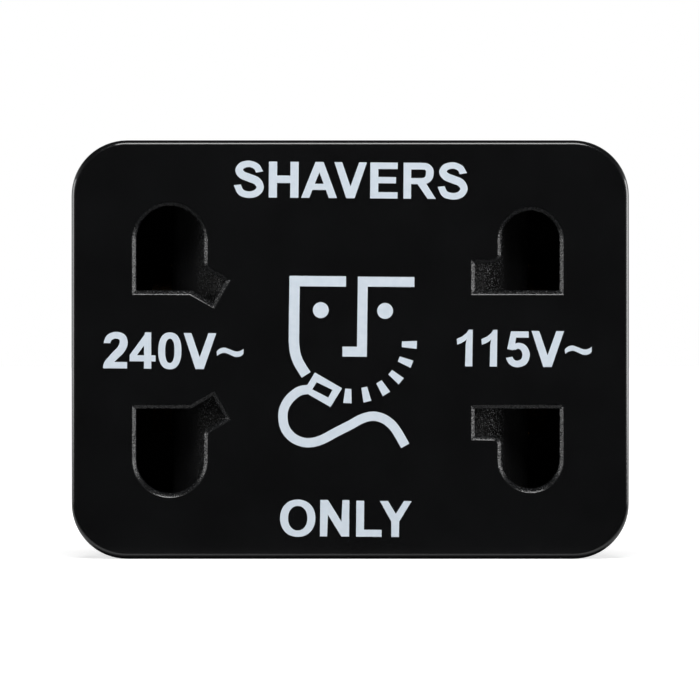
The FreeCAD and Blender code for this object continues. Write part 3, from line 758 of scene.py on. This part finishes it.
def signShapes():
    shapes = ribbonQuads(sign["left"] + smoothLine(sign["leftJaw"], 6), sign["leftStroke"])
    shapes += ribbonQuads(sign["right"], sign["rightStroke"])
    shapes += ribbonQuads(smoothLine(sign["cord"], 6), sign["cordStroke"])
    shapes += [disc(eye, sign["eyeRadius"]) for eye in sign["eyes"]]
    shapes += [hair(*values) for values in sign["hairs"]]
    razor, window = sign["razor"], sign["window"]
    for k in range(4):
        n = (k + 1) % 4
        shapes.append([razor[k], razor[n], window[n], window[k]])
    return shapes


word("print_shavers", "shavers")
word("print_only", "only")
word("print_240", "240")
word("print_115", "115")
printed("print_sign", signShapes())
print("markings printed")


# return springs, in millimetres and degrees

spring = {
    "wire": 0.4,
    "coil": 1.6,
    "turns": 6,
    "endTurns": 0.9,
    "sides": 10,
    "perTurn": 30,
    "axisY": 2.2,
    "smooth": 50,
}


def springLine(start, stop, hand):
    # the wire's middle: close turns at both ends and open ones between
    wire = spring["wire"]
    ends = spring["endTurns"]
    total = spring["turns"] + 2 * ends
    pitch = (stop - start - wire - 2 * ends * wire) / spring["turns"]
    steps = int(total * spring["perTurn"])
    line = []
    for k in range(steps + 1):
        turn = total * k / steps
        closedIn = min(turn, ends)
        closedOut = max(0.0, turn - ends - spring["turns"])
        free = turn - closedIn - closedOut
        x = start + wire / 2 + (closedIn + closedOut) * wire + pitch * free
        angle = 2 * math.pi * turn
        line.append(Vector((hand * x, spring["axisY"] + spring["coil"] * math.cos(angle),
                            spring["coil"] * math.sin(angle))))
    return line


def springCoil(name, node, hand):
    low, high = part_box("return_spring_right")
    start, stop = low[0] / mm, high[0] / mm
    line = springLine(start, stop, hand)
    steps = len(line) - 1
    sides = spring["sides"]
    verts, faces = [], []
    for k, spot in enumerate(line):
        way = (line[min(k + 1, steps)] - line[max(k - 1, 0)]).normalized()
        out = Vector((0, spot.y - spring["axisY"], spot.z)).normalized()
        out = (out - way * out.dot(way)).normalized()
        third = way.cross(out)
        verts += [tuple(spot + (out * c + third * s) * (spring["wire"] / 2)) for c, s in around(sides)]
    for k in range(steps):
        for s in range(sides):
            a, b = k * sides + s, k * sides + (s + 1) % sides
            faces.append((a, b, b + sides, a + sides))
    faces.append(tuple(reversed(range(sides))))
    faces.append(tuple(range(steps * sides, (steps + 1) * sides)))
    if hand < 0:
        faces = [tuple(reversed(f)) for f in faces]
    piece = makePiece(name, verts, faces, slotMaterials["spring_steel"], None,
                      spring["smooth"])
    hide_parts(node)
    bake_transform(piece)


springCoil("spring_coil_left", "return_spring_left", -1)
springCoil("spring_coil_right", "return_spring_right", 1)
print("springs wound")


# cover screws, in millimetres and degrees; a pair is at the top of the cross recess and at its floor

coverScrew = {
    "headRadius": 1.6,
    "headHeight": 1.2,
    "sideHeight": 0.45,
    "edgeBreak": 0.06,
    "footShare": 0.96,
    "domePower": 0.7,
    "domeAngles": (90, 82, 70, 57, 44, 31, 18),
    "headSteps": 40,
    "crossReach": (0.92, 0.36),
    "crossWidth": (0.27, 0.19),
    "crossDepth": 0.82,
    "cutAbove": 0.2,
    "threadOuter": 0.80,
    "threadCore": 0.60,
    "ridgeShare": 0.3,
    "pitch": 0.65,
    "perPitch": 7,
    "shankSteps": 20,
    "tipShare": 0.15,
    "tipLength": 1.4,
    "intoHead": 0.05,
    "smooth": 32,
}


def turned(profile, x, z, steps):
    # revolves (radius, y) points about a line along Y; both ends lie on the line
    verts = [(x + radius * c, y, z + radius * s) for radius, y in profile[1:-1] for c, s in around(steps)]
    faces = []
    rings = len(profile) - 2
    for i in range(rings - 1):
        for k in range(steps):
            n = (k + 1) % steps
            faces.append((i * steps + k, i * steps + n, (i + 1) * steps + n, (i + 1) * steps + k))
    for ring, y in ((0, profile[0][1]), (rings - 1, profile[-1][1])):
        verts.append((x, y, z))
        for k in range(steps):
            n = (k + 1) % steps
            side = (ring * steps + n, ring * steps + k) if ring == 0 else (ring * steps + k, ring * steps + n)
            faces.append((len(verts) - 1, *side))
    return verts, faces


def crossBar(x, z, y, turn):
    # one bar of the cross recess, narrower at its floor
    verts = []
    for depth, reach, width in ((-coverScrew["cutAbove"], 0, 0), (coverScrew["crossDepth"], 1, 1)):
        length = coverScrew["crossReach"][reach]
        half = coverScrew["crossWidth"][width]
        for along, across in ((-length, -half), (length, -half), (length, half), (-length, half)):
            dx, dz = (along, across) if turn else (across, along)
            verts.append((x + dx, y - depth, z + dz))
    faces = [(0, 1, 2, 3), (7, 6, 5, 4), (0, 4, 5, 1), (1, 5, 6, 2), (2, 6, 7, 3), (3, 7, 4, 0)]
    return verts, faces


def threadedShank(x, z, tip, top):
    # the thread's ridge climbs one pitch a turn and fades out towards the point
    steps = coverScrew["shankSteps"]
    core = coverScrew["threadCore"]
    rise = coverScrew["pitch"] / coverScrew["perPitch"]
    rows = int((top - tip) / rise) + 1
    verts, faces = [], []
    for row in range(rows + 1):
        y = min(top, tip + row * rise)
        narrow = min(1.0, coverScrew["tipShare"] + (y - tip) / coverScrew["tipLength"])
        for k, (c, s) in enumerate(around(steps)):
            phase = (y / coverScrew["pitch"] - k / steps) % 1.0
            ridge = max(0.0, 1 - abs(phase - 0.5) / coverScrew["ridgeShare"])
            radius = narrow * (core + (coverScrew["threadOuter"] - core) * ridge)
            verts.append((x + radius * c, y, z + radius * s))
    for row in range(rows):
        for k in range(steps):
            n = (k + 1) % steps
            faces.append((row * steps + k, (row + 1) * steps + k, (row + 1) * steps + n, row * steps + n))
    faces.append(tuple(range(steps)))
    faces.append(tuple(rows * steps + k for k in reversed(range(steps))))
    return verts, faces


def closedPiece(name, verts, faces):
    # a piece of the screw with every face looking outwards
    piece = makePiece(name, verts, faces, slotMaterials["screw_steel"], None)
    mesh = bmesh.new()
    mesh.from_mesh(piece.data)
    bmesh.ops.recalc_face_normals(mesh, faces=mesh.faces)
    mesh.to_mesh(piece.data)
    mesh.free()
    return piece


def carved(piece, cutters):
    for cutter in cutters:
        carve = piece.modifiers.new("carve", "BOOLEAN")
        carve.operation = "DIFFERENCE"
        carve.solver = "EXACT"
        carve.object = cutter
    whole = piece.evaluated_get(bpy.context.evaluated_depsgraph_get())
    mesh = bpy.data.meshes.new_from_object(whole)
    piece.modifiers.clear()
    piece.data = mesh
    for cutter in cutters:
        bpy.data.objects.remove(cutter)


def addedTo(piece, other):
    # puts the other piece's mesh into this one and removes the other
    whole = bmesh.new()
    whole.from_mesh(piece.data)
    whole.from_mesh(other.data)
    whole.to_mesh(piece.data)
    whole.free()
    bpy.data.objects.remove(other)


def screw(number):
    low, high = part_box("cover_screw_%d" % number)
    x, z = (low[0] + high[0]) / 2 / mm, (low[2] + high[2]) / 2 / mm
    top = high[1] / mm
    base = top - coverScrew["headHeight"]
    side = base + coverScrew["sideHeight"]
    wide = coverScrew["headRadius"]
    foot = [(0, base), (wide * coverScrew["footShare"], base), (wide, base + coverScrew["edgeBreak"])]
    dome = []
    for degrees in coverScrew["domeAngles"]:
        a = math.radians(degrees)
        dome.append((wide * math.sin(a), side + (top - side) * math.cos(a) ** coverScrew["domePower"]))
    head = turned(foot + dome + [(0, top)], x, z, coverScrew["headSteps"])
    piece = closedPiece("cross_screw_%d" % number, *head)
    carved(piece, [closedPiece("bar_%d" % turn, *crossBar(x, z, top, turn)) for turn in (0, 1)])
    shank = threadedShank(x, z, low[1] / mm, base + coverScrew["intoHead"])
    addedTo(piece, closedPiece("shank", *shank))
    piece.data.shade_smooth()
    piece.data.set_sharp_from_angle(angle=math.radians(coverScrew["smooth"]))
    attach(piece, "housing")
    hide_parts("cover_screw_%d" % number)


for number in (1, 2, 3, 4):
    screw(number)
print("screws driven in")


# camera and lamps, in metres

view = {
    "distance": 0.55,
    "frameWidth": 0.06398,
    "centre": (-0.00002, -0.00004),
    "sensor": 36.0,
    "clip": (0.01, 20),
}
camera = bpy.data.cameras.new("camera")
camera.sensor_width = view["sensor"]
camera.lens = view["sensor"] * view["distance"] / view["frameWidth"]
camera.clip_start, camera.clip_end = view["clip"]
camera.dof.use_dof = False
cameraObject = bpy.data.objects.new("camera", camera)
cameraObject.location = (view["centre"][0], faceY - view["distance"], view["centre"][1])
cameraObject.rotation_euler = (math.radians(90), 0, 0)
bpy.context.scene.collection.objects.link(cameraObject)
bpy.context.scene.camera = cameraObject

# each lamp: place, then width and height, then power in watts
lamps = {
    "leftBox": ((-0.57, -0.05, 0.03), (0.36, 0.32), 2.0),
    "rightBox": ((0.57, -0.05, 0.03), (0.36, 0.32), 2.9),
    "topBox": ((0.0, -0.40, 0.43), (0.27, 0.22), 2.2),
}
for name, (spot, size, power) in lamps.items():
    light = bpy.data.lights.new(name, "AREA")
    light.shape = "RECTANGLE"
    light.size, light.size_y = size
    light.energy = power
    lamp = bpy.data.objects.new(name, light)
    lamp.location = spot
    lamp.rotation_euler = (-Vector(spot)).to_track_quat("-Z", "Y").to_euler()
    lamp.visible_camera = False
    bpy.context.scene.collection.objects.link(lamp)


# floor: it glows for the camera and for gloss, less beside the part, so that its shadow shows
# lengths are in metres, and the painted shadow beneath the part fades at the front, at the back and at the
# sides of the part, in that order

ground = {
    "height": cadBox[0][2],
    "half": 6.0,
    "low": (0.80, 0.80, 0.80),
    "high": (0.84, 0.84, 0.84),
    "roughness": 0.9,
    "specular": 0.1,
    "cloudScale": 0.02,
    "cloudDetail": 3.0,
    "glowNear": 0.62,
    "glowFar": 0.97,
    "nearTo": (0.04, 0.20),
    "cardAndShadowDark": (0.02, 0.02, 0.02),
    "cardFades": (-0.0080, -0.0045),
    "shadowUnderFades": ((-0.0040, -0.0030), (0.026, 0.031), (0.0235, 0.0265)),
}


def floorLook():
    material, tree, shader = newMaterial("floor", Roughness=ground["roughness"],
                                         Specular_IOR_Level=ground["specular"])
    cloud = noise(tree, place(tree), ground["cloudScale"], ground["cloudDetail"])
    tree.links.new(tint(tree, cloud, ground["low"], ground["high"]), shader.inputs["Base Color"])

    rays = tree.nodes.new("ShaderNodeLightPath")
    spot = tree.nodes.new("ShaderNodeTexCoord").outputs["Object"]
    away = addNode(tree, "ShaderNodeVectorMath", operation="LENGTH")
    tree.links.new(spot, away.inputs[0])
    level = ramp(tree, away.outputs["Value"], ground["glowNear"], ground["glowFar"], *ground["nearTo"])
    seen = combined(tree, "MAXIMUM", rays.outputs["Is Camera Ray"], rays.outputs["Is Glossy Ray"])
    glow = tree.nodes.new("ShaderNodeEmission")
    tree.links.new(times(tree, seen, level), glow.inputs["Strength"])
    lit = tree.nodes.new("ShaderNodeAddShader")
    tree.links.new(shader.outputs[0], lit.inputs[0])
    tree.links.new(glow.outputs[0], lit.inputs[1])

    # gloss on the face sees a dark card lying in front, as in a studio, and a painted shadow beneath the
    # part, dark for gloss only
    x, y = axes(tree, spot)[:2]
    card = ramp(tree, y, 1.0, 0.0, *ground["cardFades"])
    # the painted shadow beneath the part
    frontFade, backFade, sideFade = ground["shadowUnderFades"]
    along = times(tree, ramp(tree, y, 0.0, 1.0, *frontFade), ramp(tree, y, 1.0, 0.0, *backFade))
    under = times(tree, along, ramp(tree, combined(tree, "ABSOLUTE", x), 1.0, 0.0, *sideFade))
    share = times(tree, combined(tree, "MAXIMUM", card, under), rays.outputs["Is Glossy Ray"])
    dark = addNode(tree, "ShaderNodeBsdfDiffuse", Color=(*ground["cardAndShadowDark"], 1))
    laid = tree.nodes.new("ShaderNodeMixShader")
    tree.links.new(share, laid.inputs[0])
    tree.links.new(lit.outputs[0], laid.inputs[1])
    tree.links.new(dark.outputs[0], laid.inputs[2])
    tree.links.new(laid.outputs[0], tree.nodes["Material Output"].inputs["Surface"])
    return material


half = ground["half"] / mm
height = ground["height"] / mm
corners = [(-half, -half, height), (half, -half, height), (half, half, height), (-half, half, height)]
floorPiece = makePiece("floor", corners, [(0, 1, 2, 3)], floorLook(), None)


# the room is white around and behind the object, and dark behind the camera and overhead

room = {
    "wall": 1.0,
    "behindCamera": 0.02,
    "ceiling": 0.08,
    "frontFades": (-0.88, -0.25),
    "ceilingFades": (0.60, 0.25),
}
world = bpy.data.worlds.new("room")
bpy.context.scene.world = world
world.use_nodes = True
roomTree = world.node_tree
background = roomTree.nodes["Background"]
y, z = axes(roomTree, roomTree.nodes.new("ShaderNodeTexCoord").outputs["Generated"])[1:]
front = ramp(roomTree, y, room["behindCamera"], room["wall"], *room["frontFades"])
above = ramp(roomTree, z, room["ceiling"], room["wall"], *room["ceilingFades"])
rays = roomTree.nodes.new("ShaderNodeLightPath")
seen = combined(roomTree, "MAXIMUM", rays.outputs["Is Camera Ray"], rays.outputs["Is Transmission Ray"])
strength = combined(roomTree, "MAXIMUM", seen, times(roomTree, front, above))
background.inputs["Color"].default_value = (1, 1, 1, 1)
roomTree.links.new(strength, background.inputs["Strength"])

bpy.context.scene.view_settings.view_transform = "Standard"
print("camera and lamps placed")
